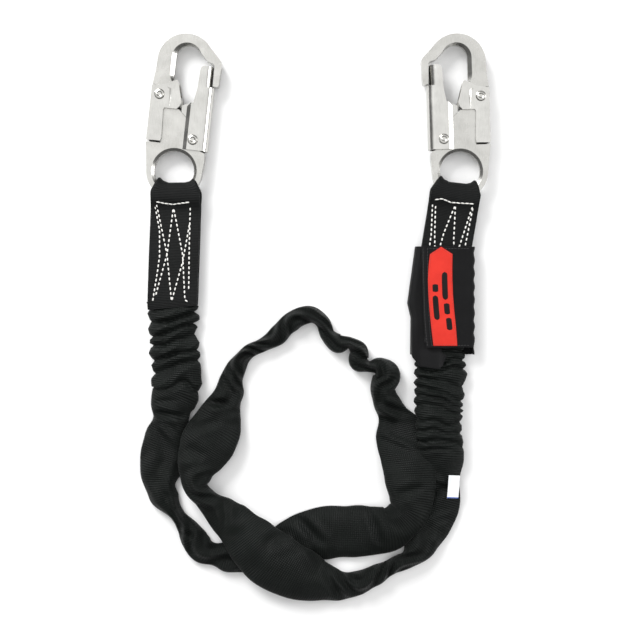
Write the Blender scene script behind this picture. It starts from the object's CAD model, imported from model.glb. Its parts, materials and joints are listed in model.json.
"""Looks for the shock absorbing lanyard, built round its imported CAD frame. Metres, +Z up."""

import json
import math

import bmesh
import bpy
import numpy as np
from mathutils import Matrix, Vector, noise


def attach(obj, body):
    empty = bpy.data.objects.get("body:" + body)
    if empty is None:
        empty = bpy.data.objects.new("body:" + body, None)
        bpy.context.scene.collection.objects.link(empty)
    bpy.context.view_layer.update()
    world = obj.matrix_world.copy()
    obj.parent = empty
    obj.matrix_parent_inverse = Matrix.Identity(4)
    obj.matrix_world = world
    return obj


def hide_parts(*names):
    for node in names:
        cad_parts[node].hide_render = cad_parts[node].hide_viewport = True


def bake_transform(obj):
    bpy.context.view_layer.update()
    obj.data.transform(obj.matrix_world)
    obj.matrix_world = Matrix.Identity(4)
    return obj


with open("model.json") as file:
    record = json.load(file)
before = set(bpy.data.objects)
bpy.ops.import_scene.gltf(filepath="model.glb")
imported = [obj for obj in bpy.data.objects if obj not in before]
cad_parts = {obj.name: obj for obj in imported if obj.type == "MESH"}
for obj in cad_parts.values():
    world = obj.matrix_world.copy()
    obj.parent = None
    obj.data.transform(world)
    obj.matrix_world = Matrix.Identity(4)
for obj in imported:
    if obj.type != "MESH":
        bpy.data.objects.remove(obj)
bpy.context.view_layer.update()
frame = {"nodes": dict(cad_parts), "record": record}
record = frame["record"]
body_of_node = {n: b for b, names in record["behaviour"]["bodies"].items() for n in names}

# Each eye's centre, the lean of its hook and of its webbing in degrees, how far the
# webbing's middle is from the eye's, and the height of the sewn block's underside.
SIDES = {
    "left": dict(eye=(-0.1256, 0.1307), lean=-6.3, web_lean=-2.05, web_x=0.0022, low=0.0),
    "right": dict(eye=(0.1308, 0.1302), lean=1.6, web_lean=-9.1, web_x=-0.0008, low=0.0018),
}
HOOK_Z = 0.0094
WEB_WIDTH = 0.0445
WEB_END = -0.1228
PLY = 0.0021
BLOCK_TOP = 0.012

# ---- camera -------------------------------------------------------------------------


CAMERA_PLACE = (0.0052, -0.003, 1.1)
LENS = 68.2
SENSOR_WIDTH = 36


def add_camera():
    """Straight above the object, as the photograph was taken."""
    data = bpy.data.cameras.new("camera")
    data.lens = LENS
    data.sensor_width = SENSOR_WIDTH
    camera = bpy.data.objects.new("camera", data)
    camera.location = CAMERA_PLACE
    bpy.context.scene.collection.objects.link(camera)
    bpy.context.scene.camera = camera


add_camera()

# ---- materials ----------------------------------------------------------------------


class Nodes:
    """A short way to write a material's nodes."""

    def __init__(self, name):
        self.material = bpy.data.materials.new(name)
        self.material.use_nodes = True
        self.tree = self.material.node_tree
        self.shader = self.tree.nodes["Principled BSDF"]

    def add(self, kind, values=(), **settings):
        node = self.tree.nodes.new(kind)
        for key, value in settings.items():
            setattr(node, key, value)
        for socket, value in dict(values).items():
            if isinstance(value, bpy.types.NodeSocket):
                self.tree.links.new(value, node.inputs[socket])
            else:
                node.inputs[socket].default_value = value
        return node

    def math(self, operation, a, b=0.0):
        return self.add("ShaderNodeMath", {0: a, 1: b}, operation=operation).outputs[0]

    def noise(self, vector, scale, detail=3.0, roughness=0.55):
        values = {"Vector": vector, "Scale": scale, "Detail": detail, "Roughness": roughness}
        return self.add("ShaderNodeTexNoise", values).outputs["Fac"]

    def ramp(self, factor, stops):
        node = self.add("ShaderNodeValToRGB", {"Fac": factor})
        elements = node.color_ramp.elements
        while len(elements) < len(stops):
            elements.new(0.5)
        for element, (place, colour) in zip(elements, stops):
            element.position = place
            element.color = (*colour, 1)
        return node.outputs["Color"]

    def bump(self, height, distance, strength=1.0):
        values = {"Height": height, "Distance": distance, "Strength": strength}
        return self.add("ShaderNodeBump", values).outputs["Normal"]

    def set(self, **sockets):
        for name, value in sockets.items():
            socket = self.shader.inputs[name.replace("_", " ")]
            if isinstance(value, bpy.types.NodeSocket):
                self.tree.links.new(value, socket)
            else:
                socket.default_value = value


def grey(value):
    return (value, value, value)


def waves(n, coordinate, pitch):
    """0 to 1 and back, once each pitch."""
    turns = n.math("MULTIPLY", coordinate, 2 * math.pi / pitch)
    return n.math("MULTIPLY_ADD", n.math("SINE", turns), 0.5)


def woven(name, dark, light, along, across, depth, roughness=0.6, sheen=0.3, slant=0.0):
    """Fabric whose UV map is in metres: ribs each along, warp ends each across."""
    n = Nodes(name)
    uv = n.add("ShaderNodeUVMap", uv_map="weave")
    split = n.add("ShaderNodeSeparateXYZ", {"Vector": uv.outputs[0]})
    run, width = split.outputs["X"], split.outputs["Y"]
    leaning = n.math("ADD", run, n.math("MULTIPLY", width, slant))
    ribs = waves(n, leaning, along)
    warp = waves(n, width, across)
    height = n.math("ADD", ribs, n.math("MULTIPLY", warp, 0.45))
    place = n.add("ShaderNodeTexCoord").outputs["Object"]
    blotches = n.noise(place, 45.0, 4.0)
    fuzz = n.noise(place, 1500.0, 2.0)
    shade = n.math("ADD", n.math("MULTIPLY", height, 0.35), n.math("MULTIPLY", blotches, 0.55))
    colour = n.ramp(shade, [(0.15, dark), (0.95, light)])
    rough = n.math("ADD", n.math("MULTIPLY", fuzz, 0.25), roughness - 0.12)
    rough_height = n.math("ADD", height, n.math("MULTIPLY", fuzz, 0.3))
    n.set(Base_Color=colour, Roughness=rough, Normal=n.bump(rough_height, depth))
    n.set(Sheen_Weight=sheen, Sheen_Roughness=0.35, Specular_IOR_Level=0.13)
    return n.material


def plated_steel(name, light, dark, roughness):
    """Zinc-plated steel: faint clouding, fine rolling marks and small handling scuffs."""
    n = Nodes(name)
    place = n.add("ShaderNodeTexCoord").outputs["Object"]
    stretched = n.add("ShaderNodeMapping", {"Vector": place, "Scale": (1.0, 0.12, 1.0)})
    clouds = n.noise(place, 60.0, 5.0)
    marks = n.noise(stretched.outputs[0], 1400.0, 3.0)
    scuffs = n.noise(place, 420.0, 4.0, 0.7)
    colour = n.ramp(n.math("ADD", n.math("MULTIPLY", clouds, 0.7), n.math("MULTIPLY", marks, 0.3)),
                    [(0.25, dark), (0.7, light)])
    rough = n.math("ADD", n.math("MULTIPLY", clouds, 0.22), roughness - 0.08)
    grain = n.math("ADD", n.math("MULTIPLY", marks, 0.6), scuffs)
    n.set(Base_Color=colour, Roughness=rough, Normal=n.bump(grain, 0.00008, 0.55))
    n.set(Metallic=1.0)
    return n.material


def thread(name, colour, shaded):
    """Twisted thread: fine slanting plies."""
    n = Nodes(name)
    place = n.add("ShaderNodeTexCoord").outputs["Object"]
    split = n.add("ShaderNodeSeparateXYZ", {"Vector": place})
    leaning = n.math("ADD", split.outputs["X"], split.outputs["Y"])
    plies = waves(n, leaning, 0.0007)
    fuzz = n.noise(place, 2500.0)
    mixed = n.math("ADD", n.math("MULTIPLY", plies, 0.5), n.math("MULTIPLY", fuzz, 0.5))
    n.set(Base_Color=n.ramp(mixed, [(0.2, shaded), (0.7, colour)]), Roughness=0.7,
          Normal=n.bump(plies, 0.00012, 0.7), Sheen_Weight=0.2)
    return n.material


def printed(name, colour, shaded, roughness, pitch):
    """Smooth cut sheet with a faint weave and slight staining."""
    n = Nodes(name)
    place = n.add("ShaderNodeTexCoord").outputs["Object"]
    split = n.add("ShaderNodeSeparateXYZ", {"Vector": place})
    grid = n.math("ADD", waves(n, split.outputs["X"], pitch), waves(n, split.outputs["Y"], pitch))
    stains = n.noise(place, 70.0, 4.0)
    fuzz = n.noise(place, 1800.0)
    mixed = n.math("ADD", n.math("MULTIPLY", stains, 0.8), n.math("MULTIPLY", grid, 0.1))
    n.set(Base_Color=n.ramp(mixed, [(0.25, shaded), (0.6, colour)]),
          Roughness=n.math("ADD", n.math("MULTIPLY", fuzz, 0.15), roughness - 0.07),
          Normal=n.bump(grid, 0.00006, 0.6), Specular_IOR_Level=0.15)
    return n.material


MATERIALS = {
    "hook_steel": plated_steel("hook_steel", (0.56, 0.555, 0.53), (0.41, 0.405, 0.385), 0.24),
    "lever_steel": plated_steel("lever_steel", (0.60, 0.595, 0.57), (0.46, 0.455, 0.435), 0.18),
    "rivet_steel": plated_steel("rivet_steel", (0.58, 0.57, 0.54), (0.38, 0.38, 0.36), 0.24),
    "spring_steel": plated_steel("spring_steel", (0.42, 0.42, 0.41), (0.25, 0.25, 0.25), 0.35),
    "webbing": woven("webbing", grey(0.0012), (0.008, 0.009, 0.009), 0.0014, 0.0011, 0.0002, 0.55,
                     0.03),
    "jacket_fabric": woven("jacket_fabric", (0.001, 0.0014, 0.0012), (0.008, 0.0104, 0.009),
                           0.0019, 0.0012, 0.00034, 0.45, 0.04, 0.12),
    "core_webbing": woven("core_webbing", (0.5, 0.47, 0.36), (0.8, 0.77, 0.62), 0.0016, 0.0012,
                          0.0003),
    "cover_fabric": woven("cover_fabric", grey(0.0015), (0.007, 0.007, 0.008), 0.0006, 0.0006,
                          0.0001, 0.5, 0.03),
    "hook_and_loop": woven("hook_and_loop", grey(0.004), grey(0.03), 0.0009, 0.0009, 0.0006, 0.8),
    "white_thread": thread("white_thread", (0.93, 0.92, 0.88), (0.66, 0.65, 0.62)),
    "black_thread": thread("black_thread", grey(0.03), grey(0.008)),
    "red_thread": thread("red_thread", (0.50, 0.03, 0.02), (0.30, 0.02, 0.012)),
    "red_tag": printed("red_tag", (0.62, 0.032, 0.020), (0.52, 0.022, 0.014), 0.5, 0.0008),
    "print_black": printed("print_black", (0.006, 0.005, 0.005), (0.012, 0.008, 0.008), 0.6, 0.0008),
    "label_paper": printed("label_paper", (0.82, 0.82, 0.80), (0.66, 0.66, 0.63), 0.6, 0.0009),
    "white_label": printed("white_label", (0.86, 0.87, 0.88), (0.70, 0.72, 0.75), 0.5, 0.0007),
    "blue_print": printed("blue_print", (0.05, 0.11, 0.42), (0.04, 0.08, 0.3), 0.5, 0.0007),
}


def finish_of(obj, slot, material=None):
    """Gives obj its material and the record's slot that it takes its finish from."""
    obj.data.materials.clear()
    obj.data.materials.append(MATERIALS[material or slot])


# ---- mesh helpers -------------------------------------------------------------------


def mesh_object(name, verts, faces, uvs=None):
    """A mesh piece. uvs holds one (u, v) in metres for each corner of each face."""
    mesh = bpy.data.meshes.new(name)
    mesh.from_pydata([tuple(v) for v in verts], [], [tuple(f) for f in faces])
    layer = mesh.uv_layers.new(name="weave")
    if uvs is not None:
        flat = np.array(uvs, np.float32).reshape(-1)
        layer.data.foreach_set("uv", flat)
    mesh.validate()
    mesh.polygons.foreach_set("use_smooth", [True] * len(mesh.polygons))
    obj = bpy.data.objects.new(name, mesh)
    bpy.context.scene.collection.objects.link(obj)
    return obj


def grid_mesh(name, points, u, v, closed=False):
    """A quad grid through points[i][j]. Closed joins the last column to the first."""
    rows, columns = points.shape[0], points.shape[1]
    spans = columns if closed else columns - 1
    faces, uvs = [], []
    for i in range(rows - 1):
        for j in range(spans):
            k = (j + 1) % columns
            row, after = i * columns, (i + 1) * columns
            faces.append((row + j, row + k, after + k, after + j))
            near, far = v[i][j], v[i][j + 1]
            uvs += [(u[i], near), (u[i], far), (u[i + 1], far), (u[i + 1], near)]
    return mesh_object(name, points.reshape(-1, 3), faces, uvs)


def apply_modifiers(obj):
    """Bakes obj's modifiers into its mesh."""
    graph = bpy.context.evaluated_depsgraph_get()
    mesh = bpy.data.meshes.new_from_object(obj.evaluated_get(graph))
    obj.modifiers.clear()
    obj.data = mesh


def thicken(obj, thickness, offset=-1.0, bevel=0.0):
    """Gives a sheet its thickness, and rounds its edges."""
    solid = obj.modifiers.new("solid", "SOLIDIFY")
    solid.thickness = thickness
    solid.offset = offset
    if bevel:
        edge = obj.modifiers.new("edge", "BEVEL")
        edge.width = bevel
        edge.segments = 3
        edge.limit_method = "ANGLE"
    apply_modifiers(obj)
    return obj


def hook_matrix(side):
    """From a hook's own frame to the row frame."""
    facts = SIDES[side]
    matrix = Matrix.Translation((*facts["eye"], HOOK_Z))
    matrix @= Matrix.Rotation(math.radians(facts["lean"]), 4, "Z")
    if side == "right":
        matrix @= Matrix.Rotation(math.pi, 4, "Y")
    return matrix


def web_matrix(side):
    """From the webbing's own frame to the row frame."""
    facts = SIDES[side]
    return Matrix.Translation((*facts["eye"], 0)) @ Matrix.Rotation(
        math.radians(facts["web_lean"]), 4, "Z")


def bumpy(x, y, z, size, seed=0.0):
    """Smooth noise from -1 to 1 whose bumps are about size across."""
    return noise.noise(Vector((x / size + seed, y / size - seed, z / size + 2 * seed)))


def ease(value, low, high):
    """0 below low, 1 above high, smooth between."""
    t = min(max((value - low) / (high - low), 0.0), 1.0)
    return t * t * (3 - 2 * t)


# ---- steel --------------------------------------------------------------------------


def softened_copy(node, width):
    """A copy of a CAD steel node with its sharp edges rounded."""
    source = frame["nodes"][node]
    form = bmesh.new()
    form.from_mesh(source.data)
    bmesh.ops.remove_doubles(form, verts=form.verts, dist=2e-6)
    bmesh.ops.dissolve_limit(form, angle_limit=math.radians(0.6), verts=form.verts,
                             edges=form.edges)
    sharp = [e for e in form.edges if len(e.link_faces) == 2
             and e.calc_face_angle(0) > math.radians(28)]
    bmesh.ops.bevel(form, geom=sharp, offset=width, segments=3, profile=0.5,
                    affect="EDGES", clamp_overlap=True)
    bmesh.ops.triangulate(form, faces=[f for f in form.faces if len(f.verts) > 4])
    mesh = bpy.data.meshes.new(node + "_look")
    form.to_mesh(mesh)
    form.free()
    mesh.polygons.foreach_set("use_smooth", [True] * len(mesh.polygons))
    mesh.set_sharp_from_angle(angle=math.radians(32))
    obj = bpy.data.objects.new(node + "_look", mesh)
    bpy.context.scene.collection.objects.link(obj)
    flat_faces = obj.modifiers.new("flat_faces", "WEIGHTED_NORMAL")
    flat_faces.weight = 100
    flat_faces.keep_sharp = True
    apply_modifiers(obj)
    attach(obj, body_of_node[node])
    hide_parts(node)
    return obj


def make_hook(side):
    parts = (
        ("hook_body", "hook_steel", 0.0010), ("gate", "lever_steel", 0.0007),
        ("lock_lever", "lever_steel", 0.0007), ("gate_rivet", "rivet_steel", 0.0003),
        ("lock_rivet", "rivet_steel", 0.0003),
    )
    for part, slot, width in parts:
        finish_of(softened_copy(f"{side}_{part}", width), slot)
    for spring in ("gate_spring", "lock_spring"):
        node = frame["nodes"][f"{side}_{spring}"]
        node.data.materials.clear()
        node.data.materials.append(MATERIALS["spring_steel"])
    pressed_ribs(side)


def pressed_ribs(side):
    """The rib pressed into each face of the lock lever, along its outer edge."""
    line = [(-0.0103, 0.0565), (-0.0103, 0.0645), (-0.0112, 0.072), (-0.0135, 0.0735)]
    face_z = 0.0075
    rings, around = [], 10
    for i, (x, y) in enumerate(line):
        before, after = line[max(i - 1, 0)], line[min(i + 1, len(line) - 1)]
        heading = Vector((after[0] - before[0], after[1] - before[1])).normalized()
        half = 0.0009 if 0 < i < len(line) - 1 else 0.0003
        rings.append([(x - heading.y * half * math.cos(math.pi * k / around),
                       y + heading.x * half * math.cos(math.pi * k / around),
                       face_z - 0.0001 + 0.55 * half * math.sin(math.pi * k / around))
                      for k in range(around + 1)])
    verts, faces = [], []
    for flip in (1, -1):
        start = len(verts)
        verts += [(x, y, z * flip) for ring in rings for x, y, z in ring]
        for i in range(len(rings) - 1):
            for k in range(around):
                a = start + i * (around + 1) + k
                quad = (a, a + 1, a + around + 2, a + around + 1)
                faces.append(quad[::flip])
    rib = mesh_object(f"{side}_lock_rib", [hook_matrix(side) @ Vector(p) for p in verts], faces)
    finish_of(rib, "lever_steel")
    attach(rib, f"{side}_lock")


# ---- jacket and core ----------------------------------------------------------------

# The route: x, y and height of the middle, as in the CAD, with one more row inside each
# sewn block. Then the width and thickness as it lies, and how far its upper face is
# puffed up.
ROUTE = [
    (-0.1275, 0.0125, 0.006, 0.0435, 0.007, 0), (-0.1277, 0.0066, 0.006, 0.044, 0.01, 0),
    (-0.128, -0.008, 0.0065, 0.043, 0.012, 0), (-0.126, -0.023, 0.0065, 0.043, 0.012, 0),
    (-0.1245, -0.039, 0.0065, 0.044, 0.012, 0), (-0.124, -0.055, 0.0065, 0.044, 0.012, 0),
    (-0.1245, -0.067, 0.006, 0.043, 0.0115, 0.002), (-0.1285, -0.08, 0.0055, 0.04, 0.01, 0.002),
    (-0.13, -0.093, 0.005, 0.035, 0.009, 0.002), (-0.1335, -0.107, 0.0045, 0.037, 0.008, 0.002),
    (-0.137, -0.121, 0.004, 0.039, 0.007, 0.002), (-0.1395, -0.137, 0.004, 0.036, 0.007, 0.002),
    (-0.1385, -0.152, 0.0042, 0.031, 0.008, 0.002), (-0.133, -0.166, 0.0046, 0.0215, 0.009, 0.002),
    (-0.123, -0.179, 0.0051, 0.013, 0.01, 0.002), (-0.115, -0.1895, 0.0051, 0.018, 0.01, 0.002),
    (-0.109, -0.201, 0.0048, 0.023, 0.009, 0.002), (-0.1, -0.211, 0.0045, 0.024, 0.008, 0.002),
    (-0.086, -0.215, 0.004, 0.023, 0.007, 0), (-0.068, -0.217, 0.0035, 0.029, 0.0064, 0),
    (-0.047, -0.214, 0.0035, 0.034, 0.0064, 0), (-0.028, -0.207, 0.0035, 0.038, 0.0064, 0),
    (-0.01, -0.2, 0.0035, 0.045, 0.0064, 0), (0.01, -0.1955, 0.0035, 0.048, 0.0064, 0.002),
    (0.033, -0.194, 0.004, 0.047, 0.007, 0.002), (0.053, -0.193, 0.005, 0.044, 0.009, 0.002),
    (0.071, -0.19, 0.0062, 0.04, 0.011, 0.003), (0.084, -0.178, 0.0075, 0.036, 0.012, 0.003),
    (0.0875, -0.164, 0.009, 0.04, 0.01, 0.003), (0.087, -0.149, 0.01, 0.045, 0.008, 0.003),
    (0.085, -0.133, 0.0095, 0.048, 0.007, 0.003), (0.081, -0.116, 0.006, 0.047, 0.0065, 0.001),
    (0.076, -0.101, 0.0036, 0.043, 0.0064, 0.001), (0.0705, -0.087, 0.0042, 0.027, 0.008, 0.001),
    (0.064, -0.075, 0.0052, 0.02, 0.01, 0.002), (0.0615, -0.065, 0.0062, 0.022, 0.012, 0.002),
    (0.065, -0.053, 0.0062, 0.026, 0.012, 0.002), (0.058, -0.045, 0.0058, 0.016, 0.011, 0.002),
    (0.049, -0.045, 0.0058, 0.0095, 0.011, 0.001), (0.041, -0.0405, 0.0058, 0.019, 0.011, 0.001),
    (0.0395, -0.03, 0.0058, 0.0175, 0.011, 0.001), (0.032, -0.0235, 0.0058, 0.011, 0.011, 0.001),
    (0.0215, -0.024, 0.0058, 0.019, 0.011, 0.001), (0.012, -0.017, 0.0058, 0.015, 0.011, 0.001),
    (0.008, -0.005, 0.0058, 0.013, 0.011, 0.001), (-0.001, 0.0015, 0.0058, 0.0155, 0.011, 0.001),
    (-0.012, 0.0005, 0.0056, 0.0155, 0.011, 0.001), (-0.0235, -0.0065, 0.0052, 0.0165, 0.01, 0.001),
    (-0.034, -0.0175, 0.0052, 0.018, 0.01, 0.001), (-0.047, -0.025, 0.0052, 0.0125, 0.01, 0.001),
    (-0.06, -0.032, 0.0052, 0.0125, 0.01, 0.001), (-0.069, -0.044, 0.0052, 0.0175, 0.01, 0.001),
    (-0.0745, -0.058, 0.005, 0.0225, 0.009, 0.003), (-0.079, -0.073, 0.006, 0.029, 0.008, 0.003),
    (-0.085, -0.089, 0.0085, 0.039, 0.007, 0.003), (-0.0893, -0.102, 0.011, 0.0485, 0.0065, 0.003),
    (-0.0965, -0.115, 0.012, 0.049, 0.0065, 0.003), (-0.103, -0.129, 0.0122, 0.04, 0.007, 0.003),
    (-0.1065, -0.142, 0.0122, 0.03, 0.009, 0.003), (-0.1055, -0.154, 0.0126, 0.021, 0.011, 0.003),
    (-0.0975, -0.1635, 0.0126, 0.022, 0.011, 0.003), (-0.089, -0.172, 0.0124, 0.027, 0.009, 0.003),
    (-0.079, -0.1805, 0.012, 0.033, 0.007, 0.003), (-0.068, -0.1895, 0.012, 0.039, 0.0065, 0.003),
    (-0.056, -0.202, 0.012, 0.047, 0.0065, 0.003), (-0.041, -0.2155, 0.012, 0.052, 0.0065, 0.003),
    (-0.022, -0.227, 0.0115, 0.05, 0.0065, 0.003), (-0.003, -0.235, 0.009, 0.043, 0.007, 0.003),
    (0.016, -0.241, 0.006, 0.032, 0.008, 0.003), (0.035, -0.242, 0.005, 0.0235, 0.009, 0.003),
    (0.053, -0.2345, 0.0052, 0.018, 0.01, 0.003), (0.07, -0.2255, 0.0052, 0.016, 0.01, 0.002),
    (0.085, -0.219, 0.0052, 0.018, 0.01, 0.002), (0.095, -0.2075, 0.0048, 0.026, 0.009, 0.002),
    (0.103, -0.194, 0.004, 0.034, 0.007, 0.001), (0.1085, -0.18, 0.0036, 0.039, 0.0064, 0.001),
    (0.1115, -0.166, 0.0036, 0.04, 0.0064, 0.001), (0.113, -0.152, 0.0042, 0.037, 0.007, 0.001),
    (0.114, -0.138, 0.0062, 0.038, 0.01, 0.001), (0.114, -0.123, 0.01, 0.041, 0.012, 0.001),
    (0.1125, -0.107, 0.011, 0.041, 0.012, 0.001), (0.1115, -0.089, 0.011, 0.042, 0.012, 0.001),
    (0.112, -0.071, 0.0095, 0.044, 0.012, 0.001), (0.1135, -0.053, 0.008, 0.045, 0.012, 0),
    (0.1133, -0.037, 0.0074, 0.043, 0.01, 0), (0.1125, -0.021, 0.007, 0.043, 0.0096, 0),
    (0.1115, -0.007, 0.0068, 0.042, 0.009, 0), (0.1109, 0.004, 0.0068, 0.041, 0.009, 0),
    (0.11, 0.009, 0.0068, 0.041, 0.0065, 0),
]
FLAT_WIDTH = 0.051
# How far the gathers reach from each end, and their rolls: pitch, slant, height, seed.
LEFT_GATHER = 0.082
RIGHT_GATHER = 0.135
LEFT_ROLLS = (0.0122, 0.12, 0.0068, 1.3)
RIGHT_ROLLS = (0.0090, -0.20, 0.0050, 5.9)
# How much of a roll's height lies below the cloth's middle, and the power that rounds it.
ROLL_LOW = 0.6
ROLL_ROUND = 0.75
# The cloth's upper face can sink by this share of its height, so that it stays whole.
SINK_LIMIT = 0.62
FLOOR_GAP = 0.0004

# Creases and ridges pressed into the jacket: from, to, depth (a ridge is below 0) and
# half width.
FOLDS = [
    ((-0.101, -0.074), (-0.073, -0.081), 0.0035, 0.0035),
    ((-0.117, -0.101), (-0.082, -0.093), 0.0022, 0.004),
    ((-0.114, -0.116), (-0.098, -0.127), 0.0022, 0.0055),
    ((-0.067, -0.024), (-0.076, -0.074), -0.002, 0.003),
    ((-0.078, -0.04), (-0.088, -0.076), 0.0014, 0.003),
    ((-0.146, -0.086), (-0.115, -0.09), 0.003, 0.0028),
    ((-0.143, -0.076), (-0.118, -0.074), 0.0012, 0.0025),
    ((-0.139, -0.1), (-0.134, -0.14), 0.0014, 0.005),
    ((-0.016, -0.18), (0.008, -0.206), 0.0034, 0.004),
    ((0.018, -0.172), (0.012, -0.212), -0.0014, 0.005),
    ((0.05, -0.174), (0.06, -0.206), 0.0018, 0.0035),
    ((-0.046, -0.204), (-0.019, -0.193), 0.0018, 0.005),
    ((-0.006, -0.199), (0.008, -0.226), 0.0026, 0.004),
    ((-0.06, -0.186), (-0.04, -0.226), -0.0012, 0.007),
    ((0.047, -0.086), (0.074, -0.099), 0.0024, 0.0035),
    ((0.049, -0.1), (0.093, -0.119), -0.002, 0.003),
    ((0.055, -0.119), (0.074, -0.137), 0.002, 0.005),
    ((0.074, -0.16), (0.098, -0.152), 0.0026, 0.004),
    ((0.104, -0.16), (0.128, -0.15), 0.002, 0.004),
    ((0.1, -0.19), (0.118, -0.196), 0.0014, 0.004),
    ((-0.126, -0.195), (-0.108, -0.196), 0.002, 0.0025),
]


def smooth_route(step):
    """Stations along the route, step apart: rows of the route's six values, and the runs."""
    rows = np.array(ROUTE)
    padded = np.vstack([2 * rows[0] - rows[1], rows, 2 * rows[-1] - rows[-2]])
    dense = []
    per_span = 24
    for i in range(len(rows) - 1):
        a, b, c, d = padded[i:i + 4]
        for k in range(per_span):
            t = k / per_span
            dense.append(0.5 * (2 * b + (c - a) * t + (2 * a - 5 * b + 4 * c - d) * t * t
                                + (3 * b - a - 3 * c + d) * t ** 3))
    dense.append(rows[-1])
    dense = np.array(dense)
    gaps = np.linalg.norm(np.diff(dense[:, :3], axis=0), axis=1)
    run = np.concatenate([[0], np.cumsum(gaps)])
    count = int(run[-1] / step)
    stations = np.linspace(0, run[-1], count + 1)
    values = np.array([np.interp(stations, run, dense[:, k]) for k in range(dense.shape[1])]).T
    return values, stations


def fold_height(x, y):
    """How far the pressed folds raise the cloth at a place."""
    height = 0.0
    for (x0, y0), (x1, y1), depth, half in FOLDS:
        dx, dy = x1 - x0, y1 - y0
        t = min(max(((x - x0) * dx + (y - y0) * dy) / (dx * dx + dy * dy), 0.0), 1.0)
        away = math.hypot(x - x0 - t * dx, y - y0 - t * dy)
        if away < 4 * half:
            fade = 1 - abs(2 * t - 1) ** 4
            near = math.exp(-((away / half) ** 2))
            lip = 0.45 * math.exp(-(((away - 1.9 * half) / half) ** 2))
            height -= depth * fade * (near - lip)
    return height


def gather_height(run, total, across):
    """The rounded rolls of the gathered ends, with a sharp crease between two rolls."""
    left = 1 - ease(run, LEFT_GATHER - 0.006, LEFT_GATHER + 0.004)
    right = ease(run, total - RIGHT_GATHER, total - RIGHT_GATHER + 0.012)
    if left > 0:
        share, (pitch, slant, size, seed) = left, LEFT_ROLLS
    elif right > 0:
        share, (pitch, slant, size, seed) = right, RIGHT_ROLLS
    else:
        return 0.0
    wander = 0.0095 * bumpy(run, across, 0, 0.027, seed)
    wander += 0.0042 * bumpy(run, across, 0, 0.014, seed)
    phase = (run + slant * across + wander) / pitch
    roll = abs(math.sin(math.pi * phase)) ** ROLL_ROUND
    which = Vector((math.floor(phase) * 1.7, seed, across / 0.03))
    fullness = 0.7 + 0.9 * abs(noise.noise(which))
    creases = 0.14 * abs(math.sin(2.3 * math.pi * phase + across / 0.006))
    return share * size * (roll * (fullness - creases) - ROLL_LOW)


def jacket_rings(around):
    """The jacket's surface points, ring by ring, and each point's UV in metres."""
    values, runs = smooth_route(0.0012)
    total = runs[-1]
    headings = np.gradient(values[:, :3], axis=0)
    headings /= np.linalg.norm(headings, axis=1)[:, None]
    rings = []
    for i, run in enumerate(runs):
        x, y, z, width, thick, puff = values[i]
        along = Vector(headings[i])
        side = Vector((-along.y, along.x, 0)).normalized()
        up = along.cross(side)
        up = up if up.z > 0 else -up
        slack = ease(1 - width / FLAT_WIDTH, 0.08, 0.55)
        gathered = max(1 - ease(run, LEFT_GATHER, LEFT_GATHER + 0.01),
                       ease(run, total - RIGHT_GATHER, total - RIGHT_GATHER + 0.01))
        plain = 1 - gathered
        pleat = 0.0022 * slack * plain
        drift = 2.6 * bumpy(run, 0, 0, 0.038, 3.1)
        ring = []
        for k in range(around):
            turn = 2 * math.pi * k / around
            c, s = math.cos(turn), math.sin(turn)
            ragged = 0.05 + 0.20 * slack
            wobble = bumpy(run, 0.01 * (1 if c > 0 else 2), 0, 0.015, 7.7)
            across = c * width / 2 * (1 + ragged * wobble * plain)
            lump = 0.3 * slack * bumpy(run, 0.006 * c, 0, 0.010, 5.5)
            rise = s * thick / 2 * (1 + lump * plain)
            rolls = gather_height(run, total, across)
            across += 0.8 * rolls * abs(c) ** 3 * (1 if c > 0 else -1)
            rise += max(rolls * abs(s) ** 0.5, -SINK_LIMIT * abs(rise)) * (1 if s > 0 else -1)
            lift = pleat * math.cos(2 * math.pi * (0.85 * c + drift)) * abs(s) ** 0.7
            over_x, over_y = x + side.x * across, y + side.y * across
            soft = 0.0016 * bumpy(over_x, over_y, 0, 0.021, 2.2)
            soft += 0.0012 * slack * bumpy(over_x, over_y, 0, 0.009, 4.9)
            place = Vector((x, y, z)) + side * across + up * rise
            if s > 0:
                folds = fold_height(place.x, place.y) * plain
                move = puff * s + (lift + soft * plain + folds) * s ** 0.4
                place.z += max(move, -SINK_LIMIT * rise)
            else:
                place.z += 0.5 * lift
            place.z = max(place.z, FLOOR_GAP)
            ring.append(tuple(place))
        rings.append(ring)
    return np.array(rings), runs, values


def make_jacket():
    around = 72
    rings, runs, values = jacket_rings(around)
    v = [[2 * FLAT_WIDTH * k / around for k in range(around + 1)] for _ in runs]
    jacket = grid_mesh("jacket_sleeve", rings, runs, v, closed=True)
    finish_of(jacket, "jacket_fabric")
    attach(jacket, "lanyard")
    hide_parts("jacket")
    path = [tuple(p) for p in values[::6, :3]] + [tuple(values[-1, :3])]
    return jacket, path, float(runs[-1])


jacket_piece, jacket_path, jacket_length = make_jacket()


def make_core():
    """The tear core inside the jacket: flat webbing, folded in two along its length."""
    around, step = 16, 0.004
    values, runs = smooth_route(step)
    rings = []
    headings = np.gradient(values[:, :3], axis=0)
    for row, heading in zip(values, headings):
        along = Vector(heading).normalized()
        side = Vector((-along.y, along.x, 0)).normalized()
        half, thick = row[3] * 0.26, row[4] * 0.09
        rings.append([tuple(Vector(row[:3]) + side * half * math.cos(2 * math.pi * k / around)
                            + Vector((0, 0, thick * math.sin(2 * math.pi * k / around))))
                      for k in range(around)])
    v = [[0.05 * k / around for k in range(around + 1)] for _ in runs]
    core = grid_mesh("tear_core", np.array(rings), runs, v, closed=True)
    finish_of(core, "core_webbing")
    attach(core, "lanyard")
    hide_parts("shock_core")
    return core


core_piece = make_core()

# ---- webbing ends -------------------------------------------------------------------

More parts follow.
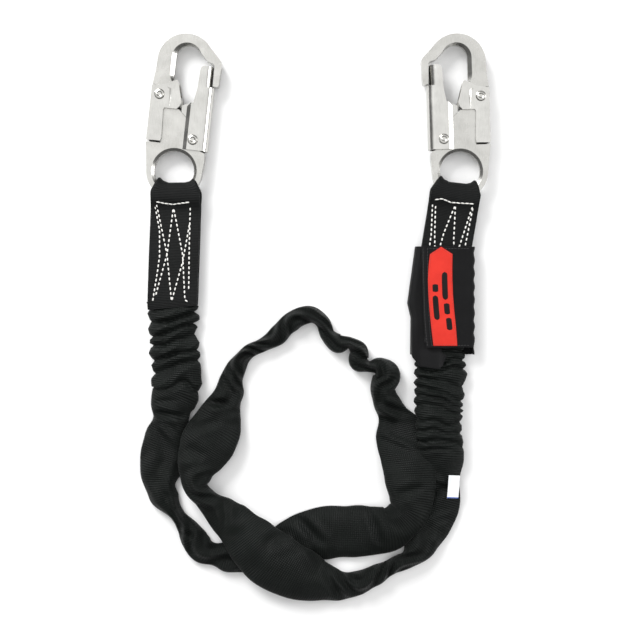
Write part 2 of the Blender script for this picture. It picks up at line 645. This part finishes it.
# The outer ply's middle, seen from the side: y and height, from the block's end over
# the rim and through the eye. NOSE rows are measured from the loop's top edge, and
# their last value is how far the ply is pinched in to fit through the eye.
OVER = [(-0.104, 0.01095), (-0.084, 0.01095), (-0.064, 0.01095), (-0.046, 0.01095),
        (-0.0385, 0.011), (-0.0335, 0.0116), (-0.0297, 0.0132), (-0.0265, 0.0152),
        (-0.0225, 0.0158), (-0.0185, 0.0158)]
NOSE = [(-0.005, 0.0157, 0.4), (-0.0026, 0.0148, 0.75), (-0.0008, 0.0125, 1.0),
        (0.0, 0.0094, 1.0), (-0.0008, 0.0063, 1.0), (-0.0026, 0.004, 0.75), (-0.005, 0.0031, 0.4)]
UNDER = [(-0.0185, 0.003), (-0.0225, 0.003), (-0.0265, 0.0033), (-0.0297, 0.0034),
         (-0.0335, 0.0026), (-0.0385, 0.0015), (-0.046, 0.00115), (-0.064, 0.00115),
         (-0.084, 0.00115), (-0.104, 0.00115)]
# The loop's top edge across the webbing: share of the half width, and y.
TOP_EDGE = [(-1.0, -0.0135), (-0.95, -0.0078), (-0.86, -0.0052), (-0.7, -0.0082),
            (-0.4, -0.01), (0.0, -0.0096), (0.45, -0.0092), (0.7, -0.0078),
            (0.86, -0.0046), (0.95, -0.0072), (1.0, -0.013)]
END_SLANT = {"left": 0.0028, "right": 0.0}


def top_edge(share):
    places, heights = zip(*TOP_EDGE)
    return float(np.interp(share, places, heights)) - PLY / 2


def top_height(y):
    """Height of the outer ply's upper face at y in the webbing's frame."""
    ys, zs = zip(*OVER)
    return float(np.interp(y, ys, zs)) + PLY / 2


def make_webbing(side):
    facts = SIDES[side]
    columns = 45
    half = WEB_WIDTH / 2
    place = web_matrix(side)
    rows = []
    slant, low = END_SLANT[side], facts["low"]
    count = 2 + len(OVER) + len(NOSE) + len(UNDER)
    for j in range(columns):
        share = 2 * j / (columns - 1) - 1
        end = WEB_END + slant * share + 0.0004 * bumpy(share, 0, 0, 0.11, 4.4)
        edge = top_edge(share)
        line = [(end, 0.01085, 0.0)] + [(y, z, 0.0) for y, z in OVER]
        line += [(edge + y, z, pinch) for y, z, pinch in NOSE]
        line += [(y, z + low * ease(-y, 0.03, 0.045), 0.0) for y, z in UNDER]
        line += [(end, 0.00115 + low, 0.0)]
        column = []
        for y, z, pinch in line:
            x = facts["web_x"] + share * half * (1 - 0.19 * pinch)
            curl = 0.0016 * pinch * abs(share) ** 8
            bulge = 0.0003 * bumpy(x, y, z, 0.012, 9.3)
            z += bulge - curl * (1 if z > HOOK_Z else -1)
            x += 0.0004 * bumpy(0.1 * share, y, z, 0.016, 2.9)
            column.append(place @ Vector((x, y, max(z, 0.0011))))
        rows.append(column)
    points = np.array([[tuple(rows[j][i]) for j in range(columns)] for i in range(count)])
    middle = points[:, columns // 2]
    run = np.concatenate([[0], np.cumsum(np.linalg.norm(np.diff(middle, axis=0), axis=1))])
    v = [[WEB_WIDTH * j / (columns - 1) for j in range(columns)] for _ in range(count)]
    ply = grid_mesh(f"{side}_webbing_ply", points, run, v)
    smooth = ply.modifiers.new("smooth", "SUBSURF")
    smooth.levels = smooth.render_levels = 1
    thicken(ply, PLY, offset=0.0, bevel=0.0004)
    finish_of(ply, "webbing")
    bend(ply)
    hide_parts(f"{side}_bight", f"{side}_end_web")
    inner_plies(side)


def bend(obj):
    """obj flexes where the webbing leaves the sewn block."""
    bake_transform(obj)


def slab(name, x0, x1, y0, y1, z0, z1, bevel, place, wavy=0.0003):
    """A soft-edged flat layer with its weave along y."""
    rows, columns = 40, 14
    points = np.zeros((rows, columns, 3))
    for i in range(rows):
        for j in range(columns):
            x = x0 + (x1 - x0) * j / (columns - 1)
            y = y0 + (y1 - y0) * i / (rows - 1)
            edge = abs(2 * j / (columns - 1) - 1) ** 6
            x += wavy * edge * bumpy(x, y, z0, 0.013, 1.1)
            points[i, j] = place @ Vector((x, y, (z0 + z1) / 2))
    u = [y0 + (y1 - y0) * i / (rows - 1) for i in range(rows)]
    v = [[x0 + (x1 - x0) * j / (columns - 1) for j in range(columns)] for _ in range(rows)]
    obj = grid_mesh(name, points, u, v)
    return thicken(obj, z1 - z0, offset=0.0, bevel=bevel)


def inner_plies(side):
    """The folded layers between the two outer plies of the sewn block."""
    facts = SIDES[side]
    layers = 3
    low = facts["low"] + 0.0023
    high = BLOCK_TOP - 0.0022
    step = (high - low) / layers
    for k in range(layers):
        inset = (0.0002, 0.0009, 0.0004)[k]
        half = WEB_WIDTH / 2 - inset
        layer = slab(f"{side}_inner_ply_{k + 1}", facts["web_x"] - half, facts["web_x"] + half,
                     WEB_END + 0.0015 + 0.0012 * k, -0.0395 - 0.0008 * k,
                     low + step * k + 0.0001, low + step * (k + 1) - 0.0001, 0.0006,
                     web_matrix(side), 0.0005)
        finish_of(layer, "webbing")
        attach(layer, "lanyard")


# ---- stitching ----------------------------------------------------------------------

# Lines of stitches on a sewn block, in the webbing's own frame, without its web_x.
SEWN = {
    "left": [
        [(-0.0148, -0.0285), (-0.007, -0.0296), (0.0, -0.0302), (0.0149, -0.0279)],
        [(-0.0161, -0.0317), (-0.0112, -0.054), (-0.0104, -0.0774), (-0.0117, -0.0901),
         (-0.0152, -0.118)],
        [(-0.0148, -0.03), (-0.0038, -0.075), (0.0017, -0.1166)],
        [(0.0004, -0.0338), (-0.0038, -0.075), (-0.0127, -0.1126)],
        [(0.0008, -0.0338), (0.0102, -0.0745), (0.0137, -0.1153), (0.0168, -0.1172)],
        [(0.0019, -0.1166), (0.0105, -0.0812), (0.0155, -0.0468)],
        [(0.0156, -0.0315), (0.0159, -0.0666), (0.0168, -0.1062)],
    ],
    "right": [
        [(-0.0185, -0.0288), (-0.012, -0.0272), (-0.004, -0.029), (0.004, -0.0284),
         (0.0163, -0.0272)],
        [(-0.0198, -0.032), (-0.0166, -0.0595), (-0.015, -0.118)],
        [(-0.0169, -0.033), (-0.0136, -0.0583), (-0.004, -0.116)],
        [(0.0004, -0.031), (-0.0056, -0.057), (-0.012, -0.112)],
        [(0.0008, -0.031), (0.004, -0.0599), (0.013, -0.115)],
        [(0.016, -0.029), (0.0112, -0.0595), (0.002, -0.116)],
        [(0.0166, -0.03), (0.015, -0.07), (0.016, -0.106)],
    ],
}
STITCH_PITCH = 0.0043
STITCH_LENGTH = 0.0029
STITCH_WIDTH = 0.0013
STITCH_RISE = 0.0008


def stitch_places(line, pitch, seed):
    """Evenly spaced places and headings along a line of points."""
    found = []
    gaps = [math.dist(a, b) for a, b in zip(line, line[1:])]
    count = max(int(sum(gaps) / pitch), 1)
    for k in range(count):
        run = sum(gaps) * (k + 0.5) / count
        i = 0
        while i < len(gaps) - 1 and run > gaps[i]:
            run -= gaps[i]
            i += 1
        t = run / gaps[i]
        a, b = line[i], line[i + 1]
        turn = math.atan2(b[1] - a[1], b[0] - a[0]) + 0.16 * noise.noise(Vector((k * 1.3, seed, 0.5)))
        found.append((a[0] + (b[0] - a[0]) * t, a[1] + (b[1] - a[1]) * t, turn))
    return found


def add_stitch(verts, faces, matrix, length, width, rise):
    """A rounded stitch, fuller in its middle, sunk at both ends."""
    around, along = 8, 7
    start = len(verts)
    for i in range(along):
        t = 2 * i / (along - 1) - 1
        swell = max(1 - abs(t) ** 3, 0.02) ** 0.5
        for k in range(around):
            turn = 2 * math.pi * k / around
            verts.append(matrix @ Vector((t * length / 2, math.cos(turn) * width / 2 * swell,
                                          math.sin(turn) * rise / 2 * swell)))
    for i in range(along - 1):
        for k in range(around):
            m = (k + 1) % around
            a, b = start + i * around, start + (i + 1) * around
            faces.append((a + k, b + k, b + m, a + m))
    faces.append(tuple(start + k for k in range(around)))
    last = start + (along - 1) * around
    faces.append(tuple(last + around - 1 - k for k in range(around)))


def make_stitching(side):
    verts, faces = [], []
    place = web_matrix(side)
    under = SIDES[side]["low"] + 0.0003
    for number, line in enumerate(SEWN[side]):
        tight = 0.0036 if number == 0 else STITCH_PITCH
        long = 0.0040 if number == 0 else STITCH_LENGTH
        for x, y, turn in stitch_places(line, tight, number * 2.1):
            slope = math.atan2(top_height(y + 0.001) - top_height(y - 0.001), 0.002)
            spin = Matrix.Rotation(slope, 4, "X") @ Matrix.Rotation(turn, 4, "Z")
            at = Matrix.Translation((x, y, top_height(y) + 0.0001))
            add_stitch(verts, faces, place @ at @ spin, long, STITCH_WIDTH, STITCH_RISE)
            if y < -0.042:
                at = Matrix.Translation((x, y, under))
                add_stitch(verts, faces, place @ at @ spin, long, STITCH_WIDTH, 0.0005)
    sewn = mesh_object(f"{side}_lock_stitches", verts, faces)
    finish_of(sewn, "white_thread")
    bend(sewn)
    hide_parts(f"{side}_stitching")


for side_name in SIDES:
    make_hook(side_name)
    make_webbing(side_name)
    make_stitching(side_name)

# ---- label cover --------------------------------------------------------------------

FLAP_MIDDLE_Z = 0.01685
COVER_THICK = 0.0012
COVER_RIGHT = 0.1436
COVER_HIGH = 0.063
# The cover's left edge and the flap's left edge, as y and x.
COVER_LEFT = [(-0.047, 0.111), (-0.0445, 0.0945), (-0.034, 0.0864), (-0.001, 0.0868),
              (0.0123, 0.0838), (0.063, 0.0908)]
FLAP_LEFT = [(-0.0275, 0.1003), (-0.018, 0.0988), (0.0, 0.0976), (0.03, 0.0966), (0.0625, 0.096)]
FLAP_LOW = -0.0275
HEM_RISE = 0.00045
HEM_INSET = 0.0030
HEM_HALF = 0.0022
# Sewing thread: pitch, length, width and rise of a stitch.
HEM_THREAD = (0.0026, 0.0022, 0.0004, 0.0003)
TAG_THREAD = (0.0024, 0.0019, 0.00045, 0.0003)
THREAD_CLEAR = 0.0001


def along_table(table, value):
    keys, values = zip(*table)
    return float(np.interp(value, keys, values))


def right_wave(y):
    """The cover's right fold is slightly wavy."""
    return 0.0007 * math.sin(y / 0.0016) * bumpy(0, y, 0, 0.03, 5.0) + 0.0005 * math.sin(y / 0.0019)


def flap_height(x, y):
    """Height of the flap's middle: a slight pillow with soft bumps."""
    across = (x - 0.096) / (COVER_RIGHT - 0.096)
    pillow = 0.0005 * math.sin(math.pi * min(max(across, 0), 1))
    return FLAP_MIDDLE_Z - 0.0003 + pillow + 0.00035 * bumpy(x, y, 0, 0.022, 6.6)


def hem_height(x, left):
    """The raised hem beside the flap's left edge."""
    return HEM_RISE * math.exp(-(((x - left - HEM_INSET) / HEM_HALF) ** 2))


def sheet_rows(rows, columns, place):
    return np.array([[tuple(place(i / (rows - 1), j / (columns - 1))) for j in range(columns)]
                     for i in range(rows)])


def metre_uvs(points):
    """UVs in metres: along each grid direction through the middle."""
    rows, columns = points.shape[:2]
    middle = points[:, columns // 2]
    u = np.concatenate([[0], np.cumsum(np.linalg.norm(np.diff(middle, axis=0), axis=1))])
    across = points[rows // 2]
    width = np.concatenate([[0], np.cumsum(np.linalg.norm(np.diff(across, axis=0), axis=1))])
    return u, [list(width) for _ in range(rows)]


def along_path(path, share):
    """The x and z at a share of the way along a path of evenly counted points."""
    spot = share * (len(path) - 1)
    i = min(int(spot), len(path) - 2)
    f = spot - i
    return tuple(a * (1 - f) + b * f for a, b in zip(path[i], path[i + 1]))


def make_cover_back():
    """The sheet round the webbing: inner flap, left fold, underside and right edge."""
    def place(t, s):
        y = -0.034 + (COVER_HIGH + 0.034) * t
        left = along_table(COVER_LEFT, y)
        right = COVER_RIGHT + right_wave(y)
        free = 0.114 + 0.004 * ease(-y, 0.02, 0.034)
        path = [(free, 0.01325), (0.106, 0.01325), (0.098, 0.01325), (left + 0.005, 0.0133),
                (left + 0.0016, 0.0124), (left + 0.0007, 0.0098), (left + 0.0006, 0.007),
                (left + 0.0007, 0.0042), (left + 0.0016, 0.0015), (left + 0.005, 0.0007),
                (0.105, 0.0007), (0.125, 0.0007), (right - 0.005, 0.0007),
                (right - 0.0016, 0.0015), (right - 0.0007, 0.0042), (right - 0.0006, 0.007),
                (right - 0.0007, 0.0105), (right - 0.0008, 0.0125)]
        x, z = along_path(path, s)
        if z > 0.012 and x < 0.121:
            over = ease(-y, 0.020, 0.034)
            low_end = along_table([(0.086, -0.034), (0.0945, -0.0445), (0.111, -0.047),
                                   (0.114, -0.0465), (0.118, -0.036)], x)
            y += (low_end + 0.034) * ease(-y, 0.0, 0.034) if low_end < -0.034 else 0.0
            z += 0.0026 * over + 0.0003 * bumpy(x, y, 0, 0.015, 8.1)
        return Vector((x, y, z))

    points = sheet_rows(64, 69, place)
    u, v = metre_uvs(points)
    back = grid_mesh("cover_wrap", points, u, v)
    thicken(back, COVER_THICK, offset=0.0, bevel=0.0003)
    finish_of(back, "cover_fabric")
    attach(back, "lanyard")
    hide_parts("label_cover_back")
    return back


def make_cover_flap():
    """The outer flap, down to the fold on the cover's right."""
    def place(t, s):
        y = FLAP_LOW + (COVER_HIGH - 0.0005 - FLAP_LOW) * t
        left = along_table(FLAP_LEFT, y)
        right = COVER_RIGHT - 0.0006 + right_wave(y)
        flat_share = 0.86
        if s < flat_share:
            x = left + (right - 0.0030 - left) * s / flat_share
            z = flap_height(x, y)
            z += hem_height(x, left)
            y += 0.0006 * bumpy(x, 0, 0, 0.02, 3.7) * (1 if t > 0.5 else -1) * abs(2 * t - 1) ** 8
            return Vector((x, y, z))
        turn = (s - flat_share) / (1 - flat_share) * math.radians(115)
        radius_x, radius_z = 0.0030, 0.0034
        x = right - radius_x + radius_x * math.sin(turn)
        z = flap_height(right - 0.003, y) - radius_z * (1 - math.cos(turn))
        return Vector((x, y, z))

    points = sheet_rows(72, 56, place)
    u, v = metre_uvs(points)
    flap = grid_mesh("cover_front", points, u, v)
    thicken(flap, COVER_THICK, offset=0.0, bevel=0.0003)
    finish_of(flap, "cover_fabric")
    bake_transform(flap)
    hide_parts("label_cover_flap")
    return flap


def thread_line(name, line, height, pitch, length, width, rise, slot, material, body):
    verts, faces = [], []
    for x, y, turn in stitch_places(line, pitch, 1.0):
        at = Matrix.Translation((x, y, height(x, y))) @ Matrix.Rotation(turn, 4, "Z")
        add_stitch(verts, faces, at, length, width, rise)
    obj = mesh_object(name, verts, faces)
    finish_of(obj, slot, material)
    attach(obj, body)
    return obj


def make_hem_threads():
    face = COVER_THICK / 2 + THREAD_CLEAR
    for number, inset in enumerate((0.0012, 0.0050)):
        ys = np.linspace(FLAP_LOW + 0.001, 0.0615, 12)
        line = [(along_table(FLAP_LEFT, y) + inset, y) for y in ys]
        thread_line(f"flap_hem_thread_{number + 1}", line,
                    lambda x, y: flap_height(x, y) + face + hem_height(x, along_table(FLAP_LEFT, y)),
                    *HEM_THREAD, "cover_fabric", "black_thread", "cover_flap")
    for number, y in enumerate((0.0607, FLAP_LOW + 0.0018)):
        xs = np.linspace(along_table(FLAP_LEFT, y) + 0.001, COVER_RIGHT - 0.005, 6)
        thread_line(f"flap_edge_thread_{number + 1}", [(x, y) for x in xs],
                    lambda x, y: flap_height(x, y) + face,
                    *HEM_THREAD, "cover_fabric", "black_thread", "cover_flap")


# ---- tag and labels -----------------------------------------------------------------

TAG_LEFT = [(-0.026, 0.1065), (-0.01, 0.1046), (0.006, 0.103), (0.02, 0.102),
            (0.033, 0.1016), (0.046, 0.1022), (0.0558, 0.1034), (0.0622, 0.113)]
TAG_RIGHT = [(-0.026, 0.1277), (-0.01, 0.1266), (0.005, 0.125), (0.02, 0.1238),
             (0.033, 0.1233), (0.043, 0.1232), (0.0558, 0.1234), (0.0622, 0.1136)]
TAG_THICK = 0.0006
# Plain bars where the tag's words were: the middle's share across the tag, and the
# lowest and highest y.
TAG_BARS = [(0.68, 0.015, 0.04), (0.71, 0.002, 0.012), (0.74, -0.012, -0.001),
            (0.29, 0.022, 0.029), (0.27, -0.003, 0.019)]
BAR_WIDTH = 0.0050


def tag_height(x, y):
    return flap_height(x, y) + COVER_THICK / 2 + TAG_THICK / 2


def make_tag():
    def place(t, s):
        y = -0.026 + (0.0622 + 0.026) * t
        x = along_table(TAG_LEFT, y) * (1 - s) + along_table(TAG_RIGHT, y) * s
        return Vector((x, y, tag_height(x, y)))

    points = sheet_rows(70, 16, place)
    u, v = metre_uvs(points)
    tag = grid_mesh("arrow_tag_cloth", points, u, v)
    thicken(tag, TAG_THICK, offset=0.0, bevel=0.00015)
    finish_of(tag, "red_tag")
    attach(tag, "cover_flap")
    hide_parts("arrow_tag")

    inset = 0.0009
    ys = list(np.linspace(-0.025, 0.0555, 14))
    left = [(along_table(TAG_LEFT, y) + inset, y) for y in ys]
    right = [(along_table(TAG_RIGHT, y) - inset, y) for y in ys]
    outline = left + [(0.1133, 0.0612)] + right[::-1] + [left[0]]
    sewn = thread_line("arrow_tag_thread", outline,
                       lambda x, y: tag_height(x, y) + TAG_THICK / 2 + 0.00008,
                       *TAG_THREAD, "red_thread", "red_thread", "cover_flap")
    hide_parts("arrow_tag_stitching")

    for number, (share, low, high) in enumerate(TAG_BARS):
        def bar_place(t, s, share=share, low=low, high=high):
            y = low + (high - low) * t
            left_x, right_x = along_table(TAG_LEFT, y), along_table(TAG_RIGHT, y)
            end = 1 - abs(2 * t - 1) ** 14
            x = left_x + (right_x - left_x) * share + (s - 0.5) * BAR_WIDTH * max(end, 0.05)
            return Vector((x, y, tag_height(x, y) + TAG_THICK / 2 + 0.00005))

        points = sheet_rows(24, 5, bar_place)
        u, v = metre_uvs(points)
        bar = grid_mesh(f"tag_bar_{number + 1}", points, u, v)
        thicken(bar, 0.00008, offset=0.0)
        finish_of(bar, "red_tag", "print_black")
        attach(bar, "cover_flap")


def planar_uv(obj):
    """A weave map in metres, from above."""
    layer = obj.data.uv_layers.get("weave") or obj.data.uv_layers.new(name="weave")
    for loop in obj.data.loops:
        place = obj.data.vertices[loop.vertex_index].co
        layer.data[loop.index].uv = (place.y, place.x + place.z)


def make_strips():
    for node in ("cover_loop_strip", "cover_hook_strip"):
        strip = softened_copy(node, 0.0002)
        planar_uv(strip)
        finish_of(strip, "hook_and_loop")


def make_label_pages():
    """The folded label inside the cover, three leaves joined along its right side."""
    def place(t, s):
        y = -0.017 + 0.066 * t
        path = [(0.117, 0.01305), (0.137, 0.01305), (0.1375, 0.0133), (0.137, 0.01355),
                (0.1175, 0.0136), (0.117, 0.0138), (0.1175, 0.014), (0.1365, 0.0141)]
        x, z = along_path(path, s)
        return Vector((x, y, z))

    points = sheet_rows(20, 36, place)
    u, v = metre_uvs(points)
    pages = grid_mesh("folded_label", points, u, v)
    thicken(pages, 0.0002, offset=0.0)
    finish_of(pages, "label_paper")
    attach(pages, "lanyard")
    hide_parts("label_pages")
    return pages


def make_maker_label():
    """A plain white label sewn into the end of the gathers, with a blue lower edge."""
    where = Matrix.Translation((0.1252, -0.153, 0.0106))
    where @= Matrix.Rotation(math.radians(-3), 4, "Z") @ Matrix.Rotation(math.radians(8), 4, "Y")
    where @= Matrix.Rotation(math.radians(6), 4, "X")
    half_x, half_y = 0.0052, 0.0105

    def curved(t, s, low=-1.0, high=1.0, lift=0.0):
        x = (2 * s - 1) * half_x
        y = (low + (high - low) * t) * half_y
        return where @ Vector((x, y, lift + 0.0004 * math.cos(math.pi * y / half_y / 2) - 0.0002))

    points = sheet_rows(24, 12, curved)
    u, v = metre_uvs(points)
    label = grid_mesh("maker_label_cloth", points, u, v)
    thicken(label, 0.0004, offset=0.0, bevel=0.0001)
    finish_of(label, "white_label")
    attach(label, "lanyard")
    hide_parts("maker_label")
    points = sheet_rows(6, 12, lambda t, s: curved(t, s, -0.99, -0.9, 0.00023))
    u, v = metre_uvs(points)
    edge = grid_mesh("maker_label_edge", points, u, v)
    thicken(edge, 0.00008, offset=0.0)
    finish_of(edge, "white_label", "blue_print")
    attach(edge, "lanyard")


cover_back = make_cover_back()
cover_front = make_cover_flap()
make_hem_threads()
make_tag()
make_strips()
pages_piece = make_label_pages()
make_maker_label()

# ---- floor and light ----------------------------------------------------------------


# The world's glow: its strength, how dark its walls are, and the heights where it fades.
CEILING_STRENGTH = 1.35
WALL_SHADE = 0.12
FADE_FROM = 0.55
FADE_TO = 0.88


def add_floor():
    n = Nodes("floor_paper")
    place = n.add("ShaderNodeTexCoord").outputs["Object"]
    n.set(Base_Color=n.ramp(n.noise(place, 6.0), [(0.0, grey(0.86)), (1.0, grey(0.89))]),
          Roughness=0.9)
    bpy.ops.mesh.primitive_plane_add(size=6, location=(0, 0, 0))
    floor = bpy.context.object
    floor.name = "floor"
    floor.data.materials.append(n.material)


def add_light(name, place, size, power, target=(0, 0, 0)):
    data = bpy.data.lights.new(name, "AREA")
    data.size = size
    data.energy = power
    light = bpy.data.objects.new(name, data)
    light.location = place
    light.rotation_mode = "QUATERNION"
    light.rotation_quaternion = (Vector(target) - Vector(place)).to_track_quat("-Z", "Y")
    bpy.context.scene.collection.objects.link(light)


def add_world():
    """A bright ceiling that fades to dark walls, so that bent steel shows its edges."""
    world = bpy.data.worlds.new("studio")
    world.use_nodes = True
    tree = world.node_tree
    direction = tree.nodes.new("ShaderNodeTexCoord")
    split = tree.nodes.new("ShaderNodeSeparateXYZ")
    fade = tree.nodes.new("ShaderNodeValToRGB")
    wall, ceiling = fade.color_ramp.elements
    wall.position = FADE_FROM
    wall.color = (*grey(WALL_SHADE), 1)
    ceiling.position = FADE_TO
    ceiling.color = (1, 1, 1, 1)
    background = tree.nodes["Background"]
    background.inputs["Strength"].default_value = CEILING_STRENGTH
    tree.links.new(direction.outputs["Generated"], split.inputs[0])
    tree.links.new(split.outputs["Z"], fade.inputs["Fac"])
    tree.links.new(fade.outputs["Color"], background.inputs["Color"])
    bpy.context.scene.world = world
    bpy.context.scene.view_settings.view_transform = "Standard"


add_floor()
add_world()
add_light("key", place=(-1.0, 1.4, 1.1), size=1.0, power=50)
add_light("low_right", place=(1.5, 0.3, 0.7), size=0.7, power=12)
